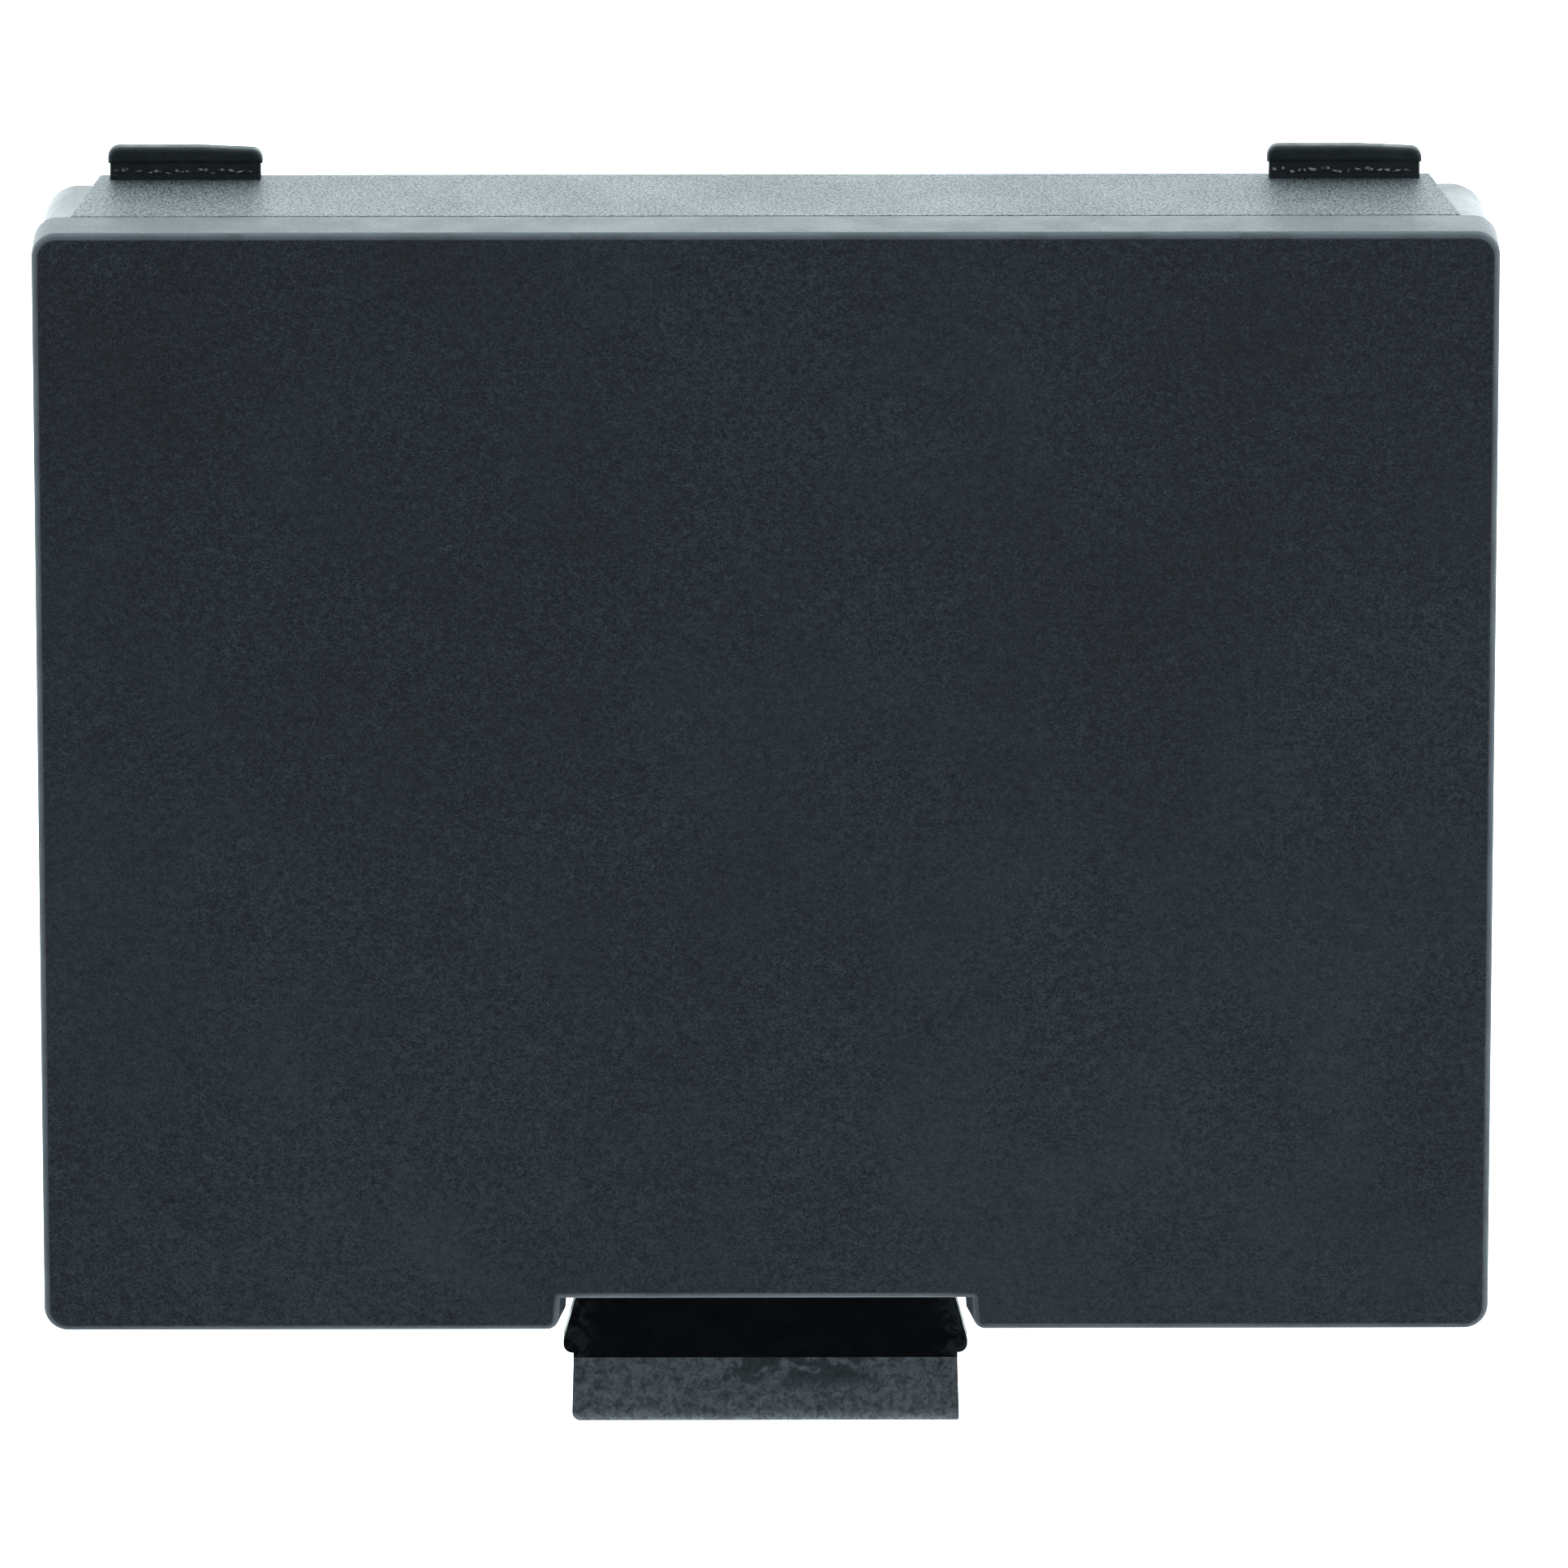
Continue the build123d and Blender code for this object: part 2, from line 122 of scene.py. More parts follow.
# ------------------------------------------------------------------ shader tree helper
class Shader:
    """One material's node tree. Each method adds a node and returns its output socket.

    Lengths are in millimetres of the object's own frame, so patterns keep their real scale.
    """

    def __init__(self, name):
        self.material = bpy.data.materials.new(name)
        self.material.use_nodes = True
        self.tree = self.material.node_tree
        self.tree.nodes.clear()
        output = self.tree.nodes.new("ShaderNodeOutputMaterial")
        self.bsdf = self.tree.nodes.new("ShaderNodeBsdfPrincipled")
        self.tree.links.new(self.bsdf.outputs["BSDF"], output.inputs["Surface"])
        coordinates = self.tree.nodes.new("ShaderNodeTexCoord")
        self.normal = coordinates.outputs["Normal"]
        to_mm = self.tree.nodes.new("ShaderNodeVectorMath")
        to_mm.operation = "SCALE"
        self.tree.links.new(coordinates.outputs["Object"], to_mm.inputs[0])
        to_mm.inputs["Scale"].default_value = 1 / MM
        self.place = to_mm.outputs[0]

    def feed(self, socket, value):
        """Link a socket to another, or set it to a plain value."""
        if isinstance(value, bpy.types.NodeSocket):
            self.tree.links.new(value, socket)
        elif hasattr(socket.default_value, "__len__") and len(socket.default_value) == 4:
            socket.default_value = (*value, 1.0)
        else:
            socket.default_value = value

    def scaled(self, x, y, z):
        """Coordinates stretched by a factor along each axis."""
        node = self.tree.nodes.new("ShaderNodeVectorMath")
        node.operation = "MULTIPLY"
        self.feed(node.inputs[0], self.place)
        node.inputs[1].default_value = (x, y, z)
        return node.outputs[0]

    def noise(self, scale, detail=3.0, rough=0.5, twist=0.0, at=None):
        """Noise with features about 1 / scale millimetres across, from 0 to 1."""
        node = self.tree.nodes.new("ShaderNodeTexNoise")
        self.feed(node.inputs["Vector"], at or self.place)
        node.inputs["Scale"].default_value = scale
        node.inputs["Detail"].default_value = detail
        node.inputs["Roughness"].default_value = rough
        node.inputs["Distortion"].default_value = twist
        return node.outputs["Fac"]

    def cells(self, scale):
        """Distance to the nearest of scattered points, about 1 / scale millimetres apart."""
        node = self.tree.nodes.new("ShaderNodeTexVoronoi")
        self.feed(node.inputs["Vector"], self.place)
        node.inputs["Scale"].default_value = scale
        return node.outputs["Distance"]

    def maths(self, operation, a, b=0.0):
        """One arithmetic step on sockets or plain numbers."""
        node = self.tree.nodes.new("ShaderNodeMath")
        node.operation = operation
        self.feed(node.inputs[0], a)
        self.feed(node.inputs[1], b)
        return node.outputs[0]

    def step(self, value, low, high, out_low=0.0, out_high=1.0):
        """Smooth step of value from low to high."""
        node = self.tree.nodes.new("ShaderNodeMapRange")
        node.interpolation_type = "SMOOTHSTEP"
        self.feed(node.inputs["Value"], value)
        node.inputs["From Min"].default_value = low
        node.inputs["From Max"].default_value = high
        node.inputs["To Min"].default_value = out_low
        node.inputs["To Max"].default_value = out_high
        return node.outputs["Result"]

    def parts(self, vector):
        """The X, Y and Z parts of a vector."""
        node = self.tree.nodes.new("ShaderNodeSeparateXYZ")
        self.feed(node.inputs[0], vector)
        return node.outputs[0], node.outputs[1], node.outputs[2]

    def mix(self, share, a, b):
        """Colour a where share is 0, b where it is 1."""
        node = self.tree.nodes.new("ShaderNodeMix")
        node.data_type = "RGBA"
        self.feed(node.inputs["Factor"], share)
        self.feed(node.inputs[6], a)
        self.feed(node.inputs[7], b)
        return node.outputs[2]

    def bump(self, height, distance):
        """Relief of the given depth in millimetres."""
        node = self.tree.nodes.new("ShaderNodeBump")
        self.feed(node.inputs["Height"], height)
        node.inputs["Distance"].default_value = distance * MM
        return node.outputs["Normal"]

    def finish(self, colour, roughness, normal=None, **uniform):
        """Connect the shader. uniform holds plain values for sockets that are the same all over."""
        self.feed(self.bsdf.inputs["Base Color"], colour)
        self.feed(self.bsdf.inputs["Roughness"], roughness)
        if normal is not None:
            self.feed(self.bsdf.inputs["Normal"], normal)
        for socket, value in uniform.items():
            self.feed(self.bsdf.inputs[socket.replace("_", " ")], value)
        return self.material


def dress(node_name, material):
    """Give a CAD node its material."""
    slots = nodes[node_name].data.materials
    slots.clear()
    slots.append(material)


# ------------------------------------------------------------------ materials
def threads(s, scale, width, twist=1.5, at=None):
    """Thin curling lines, as of felt or of spark-eroded grain: 1 on a line, 0 off it."""
    field = s.noise(scale, 2.0, 0.5, twist, at)
    off_line = s.maths("ABSOLUTE", s.maths("SUBTRACT", field, 0.5))
    return s.step(off_line, 0.0, width, 1.0, 0.0)


def rounded(s):
    """1 on the rounded edges between a face square to Z and a side wall, 0 elsewhere."""
    facing = s.parts(s.normal)[2]
    return s.maths("MULTIPLY", s.step(facing, 0.12, 0.45), s.step(facing, 0.95, 0.9995, 1.0, 0.0))


def edge_wear(s, noise):
    """Wear on the rounded edges, broken up by noise."""
    return s.maths("MULTIPLY", rounded(s), s.step(noise, 0.35, 0.62))


def cover_plastic():
    """Near-matt slate moulding: felt-like spark-eroded grain on the face, smoother side walls."""
    s = Shader("cover_plastic")
    on_face = s.step(s.parts(s.normal)[2], 0.02, 0.25)
    curls = threads(s, 1.9, 0.035, 2.2)
    short_curls = threads(s, 3.4, 0.05, 1.2, s.scaled(0.8, 1.25, 1.0))
    mottle = s.noise(2.4, 4.0, 0.65, 0.8)
    fine = s.noise(7.0, 2.0, 0.6)
    clouds = s.noise(0.06, 3.0, 0.55)
    patches = s.noise(0.35, 3.0, 0.55)
    # the grain is crisp in some places and nearly polished away in others
    crisp = s.step(s.noise(0.11, 2.0, 0.5), 0.35, 0.62, 0.45, 1.0)
    grain = s.maths("ADD", s.maths("MULTIPLY", curls, 0.30), s.maths("MULTIPLY", short_curls, 0.22))
    grain = s.maths("ADD", grain, s.maths("MULTIPLY", mottle, 0.55))
    grain = s.maths("ADD", grain, s.maths("MULTIPLY", fine, 0.20))
    tone = s.maths("MULTIPLY", s.maths("SUBTRACT", grain, 0.52), crisp)
    tone = s.maths("ADD", tone, s.maths("MULTIPLY", s.maths("SUBTRACT", clouds, 0.5), 0.20))
    tone = s.maths("ADD", tone, s.maths("MULTIPLY", s.maths("SUBTRACT", patches, 0.5), 0.07))
    # painted light: a little paler towards the latch, standing in for the brighter light on that side of the
    # face
    tone = s.maths("SUBTRACT", tone, s.maths("MULTIPLY", s.parts(s.place)[1], 0.0011))
    colour = s.mix(s.step(tone, -0.15, 0.187), (0.002, 0.0095, 0.0175), (0.043, 0.069, 0.092))
    edge = rounded(s)
    # painted highlight: every rounded edge is made paler to stand in for the light it catches, with a smaller
    # share of real edge wear broken up by noise
    edge_highlight_and_wear = s.maths("MULTIPLY", edge_wear(s, patches), 0.35)
    edge_highlight_and_wear = s.maths("ADD", edge_highlight_and_wear, s.maths("MULTIPLY", edge, 0.65))
    colour = s.mix(edge_highlight_and_wear, colour, (0.135, 0.166, 0.192))
    relief = s.maths("MULTIPLY", grain, s.maths("ADD", s.maths("MULTIPLY", on_face, 0.75), 0.25))
    roughness = s.maths("ADD", s.step(patches, 0.3, 0.7, 0.36, 0.44), s.maths("MULTIPLY", on_face, 0.16))
    roughness = s.maths("ADD", roughness, s.maths("MULTIPLY", edge, 0.24))
    return s.finish(colour, roughness, s.bump(relief, 0.03), IOR=1.5)


def tray_plastic():
    """Smooth satin black moulding with faint flow marks and fine handling scratches."""
    s = Shader("tray_plastic")
    cloud = s.noise(0.25, 3.0, 0.5)
    fine = s.noise(6.0, 3.0, 0.6)
    scratches = threads(s, 0.5, 0.006, 0.6, s.scaled(1.0, 0.35, 1.6))
    colour = s.mix(cloud, (0.008, 0.011, 0.014), (0.018, 0.022, 0.026))
    colour = s.mix(s.maths("MULTIPLY", scratches, 0.35), colour, (0.060, 0.070, 0.076))
    colour = s.mix(s.maths("MULTIPLY", edge_wear(s, cloud), 0.4), colour, (0.060, 0.070, 0.078))
    relief = s.maths("SUBTRACT", fine, s.maths("MULTIPLY", scratches, 0.6))
    roughness = s.step(cloud, 0.3, 0.7, 0.24, 0.34)
    return s.finish(colour, roughness, s.bump(relief, 0.008), IOR=1.53)


def plate_plastic():
    """Coarser spark-eroded grain with dark pits; its pale speckles are painted glints of light."""
    s = Shader("plate_plastic")
    grain = s.noise(7.5, 3.0, 0.7)
    pits = s.step(s.cells(5.2), 0.16, 0.40)
    cloud = s.noise(0.16, 2.0, 0.5)
    # painted highlight: the pale speckles of the grain stand in for glints and reflected light on the black
    # plastic
    colour = s.mix(s.step(grain, 0.38, 0.60), (0.005, 0.008, 0.010), (0.160, 0.190, 0.205))
    colour = s.mix(pits, (0.004, 0.005, 0.006), colour)
    relief = s.maths("ADD", s.maths("MULTIPLY", grain, 0.7), s.maths("MULTIPLY", pits, 0.8))
    roughness = s.step(cloud, 0.3, 0.7, 0.36, 0.44)
    return s.finish(colour, roughness, s.bump(relief, 0.085), IOR=1.49)


def hook_plastic():
    """Smooth near-black bead, slightly wavy where the mould halves met."""
    s = Shader("hook_plastic")
    ripple = s.noise(1.2, 3.0, 0.6)
    fine = s.noise(7.0, 3.0, 0.6)
    colour = s.mix(ripple, (0.020, 0.028, 0.031), (0.048, 0.060, 0.066))
    colour = s.mix(s.step(fine, 0.60, 0.74), colour, (0.10, 0.12, 0.125))
    relief = s.maths("ADD", ripple, s.maths("MULTIPLY", fine, 0.15))
    roughness = s.step(ripple, 0.3, 0.7, 0.36, 0.52)
    return s.finish(colour, roughness, s.bump(relief, 0.02), Specular_IOR_Level=0.16)


def flash_plastic():
    """Torn flash: paler and duller than the bead it grows on."""
    s = Shader("flash_plastic")
    torn = s.noise(5.0, 3.0, 0.7)
    colour = s.mix(s.step(torn, 0.42, 0.62), (0.045, 0.056, 0.060), (0.50, 0.56, 0.58))
    return s.finish(colour, s.step(torn, 0.3, 0.7, 0.35, 0.6), s.bump(torn, 0.03), IOR=1.45)


def latch_plastic():
    """Glossy black spring tongue, darkened past the other black mouldings as painted shade, with painted
    highlights beside its catch shoulders.
    """
    s = Shader("latch_plastic")
    flow = s.noise(0.8, 3.0, 0.6)
    across = s.maths("ABSOLUTE", s.parts(s.place)[0])
    near_end = s.step(across, HIGHLIGHT_START, HIGHLIGHT_END)
    # painted highlight: paler patches towards the ends of the tongue, beside its catch shoulders, stand in
    # for the light they catch
    shoulder_highlight = s.maths("MULTIPLY", near_end, s.step(s.noise(1.6, 4.0, 0.6, 0.8), 0.42, 0.62))
    # painted shade: the tongue is coloured far darker than the other black mouldings, standing in for the
    # shade of its recess
    colour = s.mix(flow, (0.0004, 0.0012, 0.0020), (0.0012, 0.0026, 0.0036))
    colour = s.mix(shoulder_highlight, colour, (0.016, 0.026, 0.028))
    roughness = s.maths("ADD", s.step(flow, 0.3, 0.7, 0.28, 0.42), s.maths("MULTIPLY", shoulder_highlight, 0.25))
    return s.finish(colour, roughness, s.bump(flow, 0.01), Specular_IOR_Level=0.12)


def tab_plastic():
    """Matt finger tab, coloured pale as painted light for the light on its sloping face, with darker patches
    low down near its foot.
    """
    s = Shader("tab_plastic")
    across, _, height = s.parts(s.place)
    blotch = s.noise(2.2, 4.0, 0.65, 0.8)
    grain = s.noise(5.5, 3.0, 0.65, 1.0)
    low_down = s.step(height, *TAB_DARK_PATCH_Z, 1.0, 0.0)
    off_middle = s.maths("ABSOLUTE", s.maths("SUBTRACT", across, TAB_PATCHES_X))
    likely = s.step(off_middle, *TAB_PATCHES_SPREAD, 0.10, -0.12)
    patchy = s.maths("ADD", s.noise(0.75, 3.0, 0.6, 0.5), likely)
    low_dark_patches = s.maths("MULTIPLY", low_down, s.step(patchy, 0.49, 0.57))
    tone = s.maths("ADD", s.maths("MULTIPLY", blotch, 0.65), s.maths("MULTIPLY", grain, 0.35))
    # painted light: the tab's pale colour stands in for the light that its upward-sloping face catches
    colour = s.mix(s.step(tone, 0.36, 0.64), (0.064, 0.085, 0.102), (0.212, 0.254, 0.280))
    # darker patches low on the tab, near its foot
    colour = s.mix(s.maths("MULTIPLY", low_dark_patches, 0.8), colour, (0.036, 0.048, 0.058))
    roughness = s.step(tone, 0.3, 0.7, 0.8, 0.62)
    return s.finish(colour, roughness, s.bump(grain, 0.025), Specular_IOR_Level=0.25)


def frame_plastic():
    """Satin clamping frame, splashed with ink in places."""
    s = Shader("frame_plastic")
    cloud = s.noise(0.4, 3.0, 0.6)
    splash = s.step(s.noise(0.35, 3.0, 0.5, 0.5), 0.48, 0.66)
    colour = s.mix(cloud, (0.012, 0.014, 0.017), (0.022, 0.025, 0.029))
    colour = s.mix(splash, colour, (0.004, 0.004, 0.007))
    roughness = s.maths("SUBTRACT", s.step(cloud, 0.3, 0.7, 0.42, 0.52), s.maths("MULTIPLY", splash, 0.25))
    return s.finish(colour, roughness, s.bump(s.noise(5.0, 3.0), 0.01), IOR=1.5)


def inked_cloth():
    """Fine plain weave soaked with black ink, wetter in some places."""
    s = Shader("inked_cloth")
    x, y, _ = s.parts(s.place)
    turns = 2 * math.pi / WEAVE_PITCH
    warp = s.maths("SINE", s.maths("MULTIPLY", x, turns))
    weft = s.maths("SINE", s.maths("MULTIPLY", y, turns))
    weave = s.step(s.maths("MULTIPLY", warp, weft), -0.7, 0.7)
    slub = s.noise(1.0, 3.0, 0.6, 0.0, s.scaled(0.25, 3.0, 1.0))
    wet = s.step(s.noise(0.09, 3.0, 0.55, 0.6), 0.38, 0.62)
    thread = s.maths("ADD", s.maths("MULTIPLY", weave, 0.7), s.maths("MULTIPLY", slub, 0.3))
    colour = s.mix(thread, (0.006, 0.006, 0.010), (0.050, 0.050, 0.062))
    colour = s.mix(s.maths("MULTIPLY", wet, 0.7), colour, (0.007, 0.006, 0.012))
    roughness = s.maths("SUBTRACT", 0.78, s.maths("MULTIPLY", wet, 0.36))
    relief = s.bump(thread, 0.05)
    return s.finish(colour, roughness, relief, Specular_IOR_Level=0.5, Sheen_Weight=0.25, Sheen_Roughness=0.5)


def inked_felt():
    """Dense felt soaked with ink: matted fibres."""
    s = Shader("inked_felt")
    hairs = threads(s, 1.6, 0.05, 1.8)
    mat = s.noise(2.2, 4.0, 0.65, 0.6)
    tone = s.maths("ADD", s.maths("MULTIPLY", hairs, 0.4), s.maths("MULTIPLY", mat, 0.6))
    colour = s.mix(tone, (0.005, 0.005, 0.009), (0.040, 0.040, 0.050))
    return s.finish(colour, s.step(mat, 0.3, 0.7, 0.62, 0.85), s.bump(tone, 0.08), Sheen_Weight=0.4)


def inked_foam():
    """Open-cell foam soaked with ink."""
    s = Shader("inked_foam")
    cells = s.step(s.cells(1.4), 0.15, 0.55)
    wet = s.noise(0.2, 2.0, 0.5)
    colour = s.mix(cells, (0.003, 0.003, 0.006), (0.040, 0.040, 0.052))
    return s.finish(colour, s.step(wet, 0.3, 0.7, 0.55, 0.8), s.bump(cells, 0.12), Specular_IOR_Level=0.4)


dress("protective_cover", cover_plastic())
dress("tray", tray_plastic())
dress("hook_plate", plate_plastic())
hook_look = hook_plastic()
dress("left_hook", hook_look)
dress("right_hook", hook_look)
dress("spring_latch", latch_plastic())
dress("finger_tab", tab_plastic())
dress("pad_frame", frame_plastic())


# ------------------------------------------------------------------ soft pieces
def outline(half_x, half_y, corner, z):
    """Points evenly spaced round a rounded rectangle, anticlockwise from the middle of its +X side."""
    corner = min(corner, half_x, half_y)
    straight_x, straight_y = half_x - corner, half_y - corner
    quarter = math.pi / 2 * corner
    runs = [straight_y, quarter, 2 * straight_x, quarter, straight_y]
    half_round = sum(runs)
    upper = []
    for i in range(RING_POINTS // 2 + 1):
        along = half_round * i / (RING_POINTS // 2)
        if along <= runs[0]:
            point = (half_x, along)
        elif along <= runs[0] + runs[1]:
            turn = (along - runs[0]) / corner
            point = (straight_x + corner * math.cos(turn), straight_y + corner * math.sin(turn))
        elif along <= sum(runs[:3]):
            point = (straight_x - (along - runs[0] - runs[1]), half_y)
        elif along <= sum(runs[:4]):
            turn = math.pi / 2 + (along - sum(runs[:3])) / corner
            point = (-straight_x + corner * math.cos(turn), straight_y + corner * math.sin(turn))
        else:
            point = (-half_x, half_round - along)
        upper.append(point)
    lower = [(x, -y) for x, y in reversed(upper[1:-1])]
    return [Vector((x, y, z)) for x, y in upper + lower]


def cap_faces(start, flip):
    """Faces that close a ring straight across, from each point to the one mirrored in y."""
    half = RING_POINTS // 2
    faces = []
    for i in range(half):
        ahead, mirrored_ahead = start + i + 1, start + (RING_POINTS - i - 1) % RING_POINTS
        here, mirrored = start + i, start + (RING_POINTS - i) % RING_POINTS
        # at the two ends a point is its own mirror, which leaves a triangle
        loop = list(dict.fromkeys([here, ahead, mirrored_ahead, mirrored]))
        faces.append(loop[::-1] if flip else loop)
    return faces


def skin(name, rings, close_first, close_last):
    """A smooth mesh piece through rings of points, which run from the bottom up or the outside in."""
    points = [point for ring in rings for point in ring]
    faces = []
    for r in range(len(rings) - 1):
        low, high = r * RING_POINTS, (r + 1) * RING_POINTS
        for i in range(RING_POINTS):
            j = (i + 1) % RING_POINTS
            faces.append([low + i, low + j, high + j, high + i])
    if close_first:
        faces += cap_faces(0, flip=True)
    if close_last:
        faces += cap_faces((len(rings) - 1) * RING_POINTS, flip=False)
    mesh = bpy.data.meshes.new(name)
    mesh.from_pydata(points, [], faces)
    mesh.shade_smooth()
    piece = bpy.data.objects.new(name, mesh)
    bpy.context.scene.collection.objects.link(piece)
    return piece


def top_rings(half_x, half_y, corner, height, pitch):
    """Rings over a flat top, from just inside its edge to a narrow slot in the middle."""
    count = int(half_y / pitch)
    rings = []
    for k in range(1, count):
        inset = half_y * k / count
        rings.append(outline(half_x - inset, half_y - inset, corner, height))
    return rings


def slab(name, low, high, corner, edge):
    """A closed slab, centred in x and y, with rounded upper and lower edges."""
    half_x, half_y = high[0], high[1]
    rings = []
    for z_centre, first, last in ((low[2] + edge, -90, 0), (high[2] - edge, 0, 90)):
        for k in range(EDGE_STEPS + 1):
            turn = math.radians(first + (last - first) * k / EDGE_STEPS)
            inset = edge * (1 - math.cos(turn))
            rings.append(outline(half_x - inset, half_y - inset, corner, z_centre + edge * math.sin(turn)))
    inner_x, inner_y, pitch = half_x - edge, half_y - edge, half_y / SLAB_TOP_STEPS
    bottom = top_rings(inner_x, inner_y, corner, low[2], pitch)[::-1]
    top = top_rings(inner_x, inner_y, corner, high[2], pitch)
    return skin(name, bottom + rings + top, True, True)


def final_mesh(piece):
    """The piece's mesh with its modifiers applied."""
    graph = bpy.context.evaluated_depsgraph_get()
    return bpy.data.meshes.new_from_object(piece.evaluated_get(graph))


def smooth_once(piece):
    """Subdivide the piece once, in the render and in the viewport alike."""
    smoother = piece.modifiers.new("smooth", "SUBSURF")
    smoother.levels = 1
    smoother.render_levels = 1


def swell(piece, voxel, cap):
    """Puff a slab up by Cloth simulation, moving no point further than cap, and keep the result."""
    piece.data.transform(Matrix.Scale(SIM_SCALE, 4))
    remesh = piece.modifiers.new("even_grid", "REMESH")
    remesh.mode = "VOXEL"
    remesh.voxel_size = voxel * SIM_SCALE
    even = final_mesh(piece)
    piece.modifiers.clear()
    piece.data = even
    rest = [vertex.co.copy() for vertex in even.vertices]
    cloth = piece.modifiers.new("swell", "CLOTH")
    cloth.settings.effector_weights.gravity = 0
    cloth.settings.use_pressure = True
    cloth.settings.uniform_pressure_force = SWELL_PRESSURE
    cloth.settings.tension_stiffness = CLOTH_STIFFNESS
    cloth.settings.compression_stiffness = CLOTH_STIFFNESS
    cloth.point_cache.frame_end = SIM_FRAMES
    for step in range(1, SIM_FRAMES + 1):
        bpy.context.scene.frame_set(step)
    swollen = final_mesh(piece)
    piece.modifiers.clear()
    for vertex, start in zip(swollen.vertices, rest):
        move = vertex.co - start
        if move.length > cap * SIM_SCALE:
            move.length = cap * SIM_SCALE
        vertex.co = start + move
    piece.data = swollen
    bpy.context.scene.frame_set(1)
    piece.data.transform(Matrix.Scale(1 / SIM_SCALE, 4))
    piece.data.shade_smooth()
    smooth_once(piece)


def make_block(name, node, clear_below, corner, edge, voxel, cap, look):
    """A padded block inside its CAD node's box, crowned by the pressure that it is held under.

    clear_below is the share of the inset left free under it.
    """
    low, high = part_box(node)
    block = slab(name, low + BLOCK_INSET * clear_below, high - BLOCK_INSET, corner, edge)
    swell(block, voxel, cap)
    block.data.materials.append(look)
    return block


def make_cloth(felt):
    """The cloth: a flange clamped under the frame, a drawn side, and a top that lies on the felt."""
    low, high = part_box("pad_cloth")
    felt_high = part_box("felt_pad")[1]
    frame_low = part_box("pad_frame")[0]
    thick = high[2] - felt_high[2]
    half_x, half_y = felt_high[0] + thick, felt_high[1] + thick
    corner, edge = CLOTH_CORNER, CLOTH_EDGE
    reach = high[0] - half_x
    flange_z = (low[2] + frame_low[2]) / 2
    rings = []
    for k in range(FLANGE_RINGS):
        inset = reach * k / FLANGE_RINGS
        rings.append(outline(high[0] - inset, high[1] - inset, corner, flange_z))
    for k in range(SIDE_RINGS):
        height = flange_z + (high[2] - edge - flange_z) * k / SIDE_RINGS
        rings.append(outline(half_x, half_y, corner, height))
    for k in range(BEND_RINGS):
        turn = math.radians(90 * k / (BEND_RINGS - 1))
        inset = edge * (1 - math.cos(turn))
        height = high[2] - edge + edge * math.sin(turn)
        rings.append(outline(half_x - inset, half_y - inset, corner, height))
    rings += top_rings(half_x - edge, half_y - edge, corner, high[2], CLOTH_TOP_PITCH)
    felt_tree = BVHTree.FromObject(felt, bpy.context.evaluated_depsgraph_get())
    for ring in rings[FLANGE_RINGS + SIDE_RINGS:]:
        for point in ring:
            hit = felt_tree.ray_cast(Vector((point.x, point.y, cad_high[2])), Vector((0, 0, -1)))[0]
            if hit is not None:
                # the top follows the felt, and the bend is only lifted clear of it
                lowest = point.z if point.z < high[2] - edge / 2 else 0
                point.z = max(lowest, hit.z + thick)
    draw_in(rings, half_x, half_y, low[2], high[2])
    cloth = skin("stretched_cloth", rings, False, True)
    smooth_once(cloth)
    cloth.data.materials.append(inked_cloth())
    return cloth


def draw_in(rings, half_x, half_y, low_z, high_z):
    """Pleat the cloth at its corners, most at the side and fading out over the top."""
    for ring in rings:
        for point in ring:
            out = Vector((abs(point.x) - half_x, abs(point.y) - half_y))
            away = math.hypot(out.x, out.y)
            fade = max(0.0, 1 - away / TUCK_SPREAD) ** 2
            if fade == 0:
                continue
            turn = math.atan2(half_y - abs(point.y) + TUCK_CENTRE, half_x - abs(point.x) + TUCK_CENTRE)
            wave = math.cos(turn * 4 * TUCKS) * TUCK_DEPTH * fade
            lift = (point.z - low_z) / (high_z - low_z)
            if lift > TUCK_SIDE[1]:
                point.z += 0.5 * wave
            elif lift > TUCK_SIDE[0]:
                inward = Vector((-point.x, -point.y, 0)).normalized()
                point += inward * (TUCK_DEPTH * fade + wave) * 0.5


def make_flash(name, node, seed, look):
    """A ragged line of flash, in separate flakes, along the groove of a hook."""
    low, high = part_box(node)
    plate_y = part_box("hook_plate")[1][1]
    groove_y = plate_y + FLASH_ABOVE_PLATE
    top_z = high[2] - FLASH_SINK
    picks = random.Random(seed)
    mesh = bmesh.new()
    x = low[0] + FLASH_MARGINS[0]
    while x < high[0] - FLASH_MARGINS[1]:
        length = picks.uniform(0.12, 0.55) * MM
        width = picks.uniform(0.05, 0.11) * MM
        height = picks.uniform(0.03, 0.10) * MM
        shift = picks.uniform(-0.12, 0.12) * MM
        lean = picks.uniform(-0.25, 0.25)
        flake = bmesh.ops.create_icosphere(mesh, subdivisions=2, radius=1.0)["verts"]
        for vertex in flake:
            ragged = 1 + picks.uniform(-0.25, 0.25)
            vertex.co = Vector((
                vertex.co.x * length / 2 * ragged,
                vertex.co.y * width * ragged + vertex.co.x * length * lean / 2,
                vertex.co.z * height * ragged,
            )) + Vector((x + length / 2, groove_y + shift, top_z))
        x += length + picks.uniform(0.0, 0.32) * MM
    data = bpy.data.meshes.new(name)
    mesh.to_mesh(data)
    mesh.free()
    data.shade_smooth()
    flash = bpy.data.objects.new(name, data)
    bpy.context.scene.collection.objects.link(flash)
    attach(flash, "case")
    data.materials.append(look)


flash_look = flash_plastic()
make_flash("left_flash", "left_hook", 3, flash_look)
make_flash("right_flash", "right_hook", 8, flash_look)

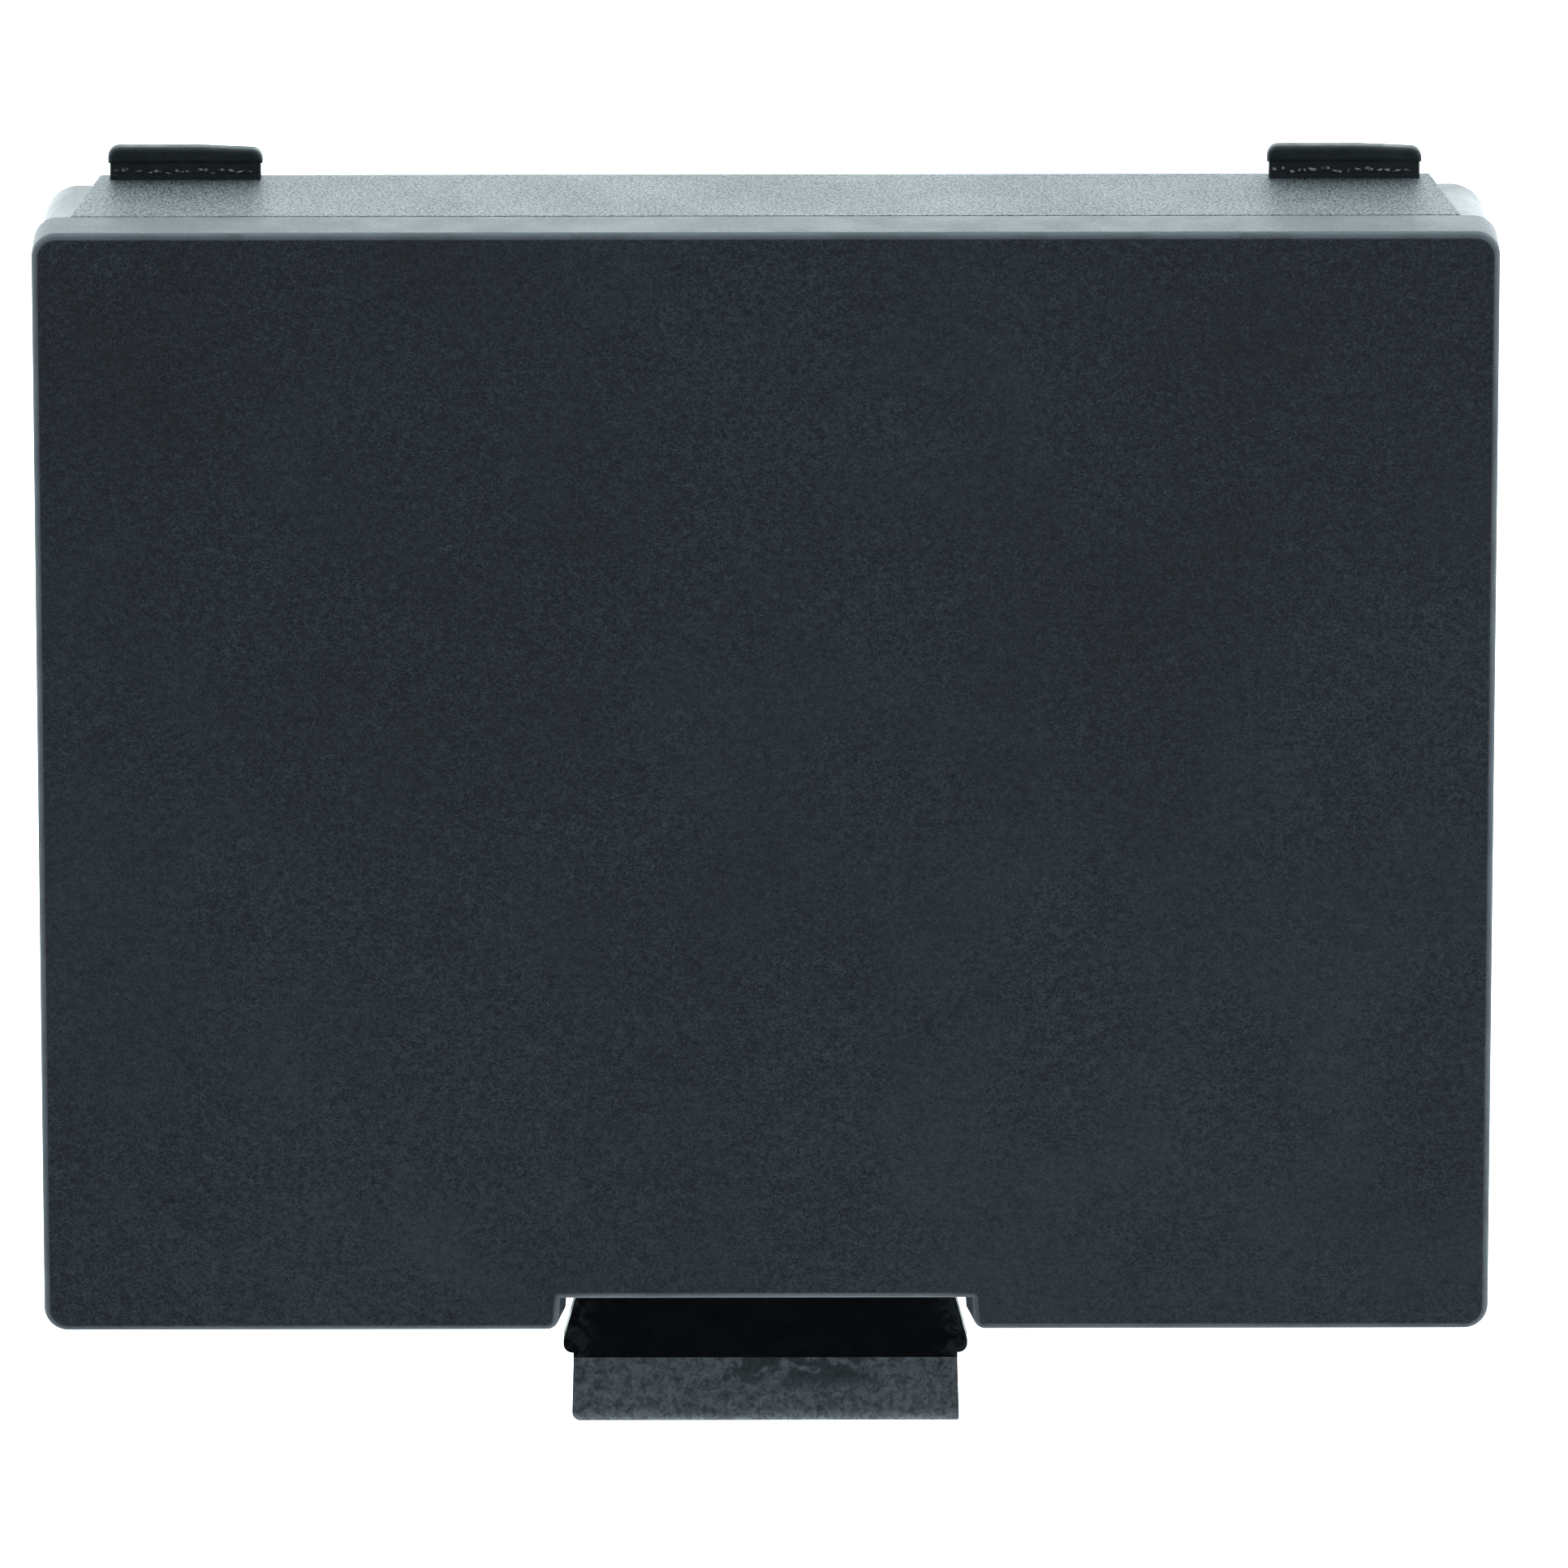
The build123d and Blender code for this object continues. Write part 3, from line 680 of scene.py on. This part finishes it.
felt_block = make_block(
    "felt_block", "felt_pad", clear_below=0.3, corner=1.2 * MM, edge=0.45 * MM,
    voxel=0.95 * MM, cap=0.28 * MM, look=inked_felt(),
)
foam_block = make_block(
    "foam_block", "ink_foam", clear_below=0.5, corner=1.0 * MM, edge=0.8 * MM,
    voxel=1.5 * MM, cap=0.15 * MM, look=inked_foam(),
)
stretched_cloth = make_cloth(felt_block)
for piece, node, finish_slot in (
    (felt_block, "felt_pad", "inked_felt"),
    (foam_block, "ink_foam", "inked_foam"),
    (stretched_cloth, "pad_cloth", "inked_cloth"),
):
    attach(piece, "case")
    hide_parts(node)


# ------------------------------------------------------------------ stage, lights and camera
def make_floor():
    """A plain pale sheet of paper, lit from below so that it comes out white."""
    half = FLOOR_HALF
    mesh = bpy.data.meshes.new("floor")
    corners = [(-half, -half, FLOOR_Z), (half, -half, FLOOR_Z), (half, half, FLOOR_Z), (-half, half, FLOOR_Z)]
    mesh.from_pydata(corners, [], [(0, 1, 2, 3)])
    floor = bpy.data.objects.new("floor", mesh)
    bpy.context.scene.collection.objects.link(floor)
    s = Shader("floor_paper")
    tone = s.noise(0.02, 2.0)
    colour = s.mix(tone, (0.86, 0.87, 0.87), (0.90, 0.90, 0.90))
    s.finish(colour, 0.9, Emission_Color=(0.86, 0.97, 1.0), Emission_Strength=2.5)
    mesh.materials.append(s.material)


def make_sky():
    """Bright near the horizon and dimmer overhead, as inside a light tent."""
    world = bpy.data.worlds.new("tent")
    bpy.context.scene.world = world
    world.use_nodes = True
    tree = world.node_tree
    background = tree.nodes["Background"]
    coordinates = tree.nodes.new("ShaderNodeTexCoord")
    split = tree.nodes.new("ShaderNodeSeparateXYZ")
    ramp = tree.nodes.new("ShaderNodeMapRange")
    ramp.interpolation_type = "SMOOTHSTEP"
    ramp.inputs["From Min"].default_value = 0.0
    ramp.inputs["From Max"].default_value = 0.9
    ramp.inputs["To Min"].default_value = HORIZON_GLOW
    ramp.inputs["To Max"].default_value = ZENITH_GLOW
    tree.links.new(coordinates.outputs["Generated"], split.inputs[0])
    tree.links.new(split.outputs["Z"], ramp.inputs["Value"])
    tree.links.new(ramp.outputs["Result"], background.inputs["Strength"])
    background.inputs["Color"].default_value = (0.97, 0.99, 1.0, 1.0)


def make_softbox(name, place, size, power):
    """A rectangular area light aimed at the origin."""
    light = bpy.data.lights.new(name, "AREA")
    light.shape = "RECTANGLE"
    light.size, light.size_y = size
    light.energy = power
    lamp = bpy.data.objects.new(name, light)
    bpy.context.scene.collection.objects.link(lamp)
    lamp.location = place
    lamp.rotation_euler = (-Vector(place)).to_track_quat("-Z", "Y").to_euler()


def make_camera():
    """A long lens that leans over the hooks' side, as in the photograph."""
    back = Vector((
        math.sin(VIEW_TURN) * math.cos(VIEW_TILT),
        math.sin(VIEW_TILT),
        math.cos(VIEW_TURN) * math.cos(VIEW_TILT),
    ))
    lens = bpy.data.cameras.new("camera")
    camera = bpy.data.objects.new("camera", lens)
    bpy.context.scene.collection.objects.link(camera)
    lens.sensor_width = SENSOR
    lens.lens = SENSOR * VIEW_DISTANCE / VIEW_WIDTH
    camera.location = VIEW_AIM + back * VIEW_DISTANCE
    right = Vector((0, 1, 0)).cross(back).normalized()
    up = back.cross(right)
    camera.rotation_euler = Matrix((right, up, back)).transposed().to_euler()
    bpy.context.scene.camera = camera


make_floor()
make_sky()
make_softbox("right_softbox", (0.5, -0.1, 0.45), (0.5, 0.5), 1.0)
make_softbox("low_softbox", (-0.1, -0.55, 0.4), (0.6, 0.4), 0.45)
make_camera()
bpy.context.scene.view_settings.view_transform = "Standard"
